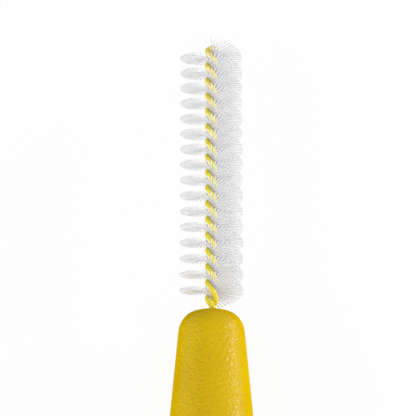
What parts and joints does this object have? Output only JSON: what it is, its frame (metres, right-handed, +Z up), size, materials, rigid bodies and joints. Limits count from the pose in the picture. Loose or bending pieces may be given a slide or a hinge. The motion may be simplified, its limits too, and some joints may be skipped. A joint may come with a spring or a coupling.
{
  "type": "interdental brush",
  "caption": "Interdental brush with a straight flat-sided handle, a left-hand twisted coated wire and spiral rows of fine filaments.",
  "frame": {"origin": "middle of the brush's length on the surface that the grip's flat underside rests on", "axes": "+Y along the brush towards the bristle tip, +Z up, square to the grip's flats"},
  "size_m": [0.008, 0.0642, 0.0048],
  "materials": {
    "handle": "yellow moulded plastic with a fine leather-like grain",
    "wire_coating": "smooth yellow plastic coat drawn over the wire",
    "core_wire": "drawn stainless steel",
    "filaments": "translucent white nylon"
  },
  "bodies": {
    "root": {"handle": "handle", "wire_coating": "wire_coating", "core_wire": "core_wire", "filaments_01": "filaments", "filaments_02": "filaments", "filaments_03": "filaments", "filaments_04": "filaments", "filaments_05": "filaments", "filaments_06": "filaments", "filaments_07": "filaments", "filaments_08": "filaments", "filaments_09": "filaments", "filaments_10": "filaments", "filaments_11": "filaments", "filaments_12": "filaments", "filaments_13": "filaments", "filaments_14": "filaments", "filaments_15": "filaments", "filaments_16": "filaments"}
  },
  "joints": []
}
